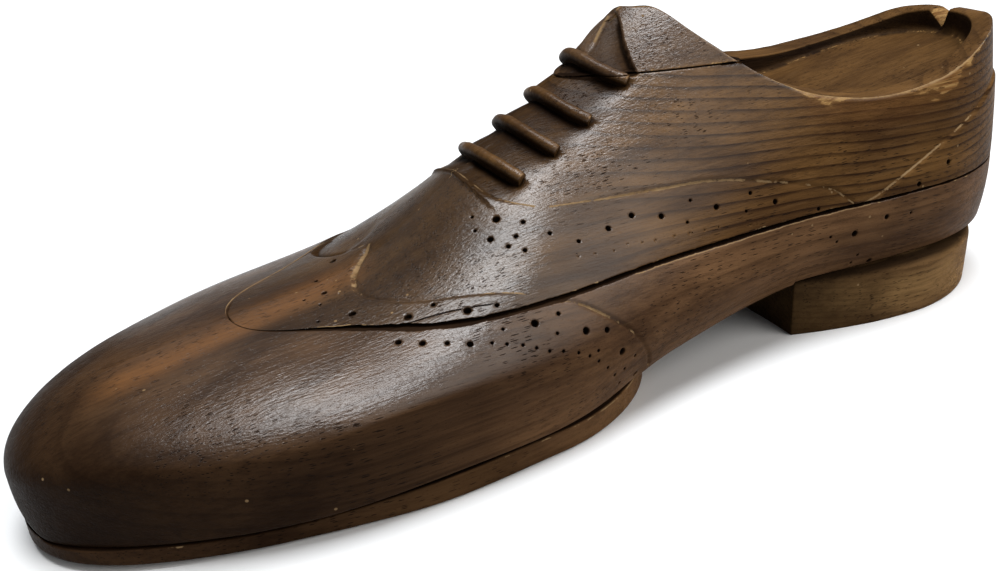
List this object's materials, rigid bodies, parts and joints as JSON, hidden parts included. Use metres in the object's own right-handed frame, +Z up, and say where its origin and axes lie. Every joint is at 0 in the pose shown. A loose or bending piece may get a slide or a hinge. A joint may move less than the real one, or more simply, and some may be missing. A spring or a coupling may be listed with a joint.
{
  "type": "carved wooden shoe",
  "caption": "Display shoe carved from glued wooden boards: a lace-up oxford with wing tip, carved outsole, separate heel and a shallow foot opening.",
  "frame": {"origin": "on the surface the shoe stands on, under the middle of its length and width", "axes": "+Z up, -X towards the toe, +X towards the heel, -Y towards the side that the picture shows"},
  "size_m": [0.2998, 0.1032, 0.096],
  "materials": {
    "board_wood": "dark walnut stain under worn wax, satin to glossy",
    "tongue_wood": "dark walnut stain under worn wax, glossy",
    "heel_wood": "worn stain, satin",
    "glue": "cured wood glue, matt"
  },
  "bodies": {
    "root": {"lower_block": "board_wood", "upper_block": "board_wood", "tongue_block": "tongue_wood", "heel_block": "heel_wood", "lower_glue_line": "glue", "upper_glue_line": "glue", "heel_glue_line": "glue"}
  },
  "joints": []
}
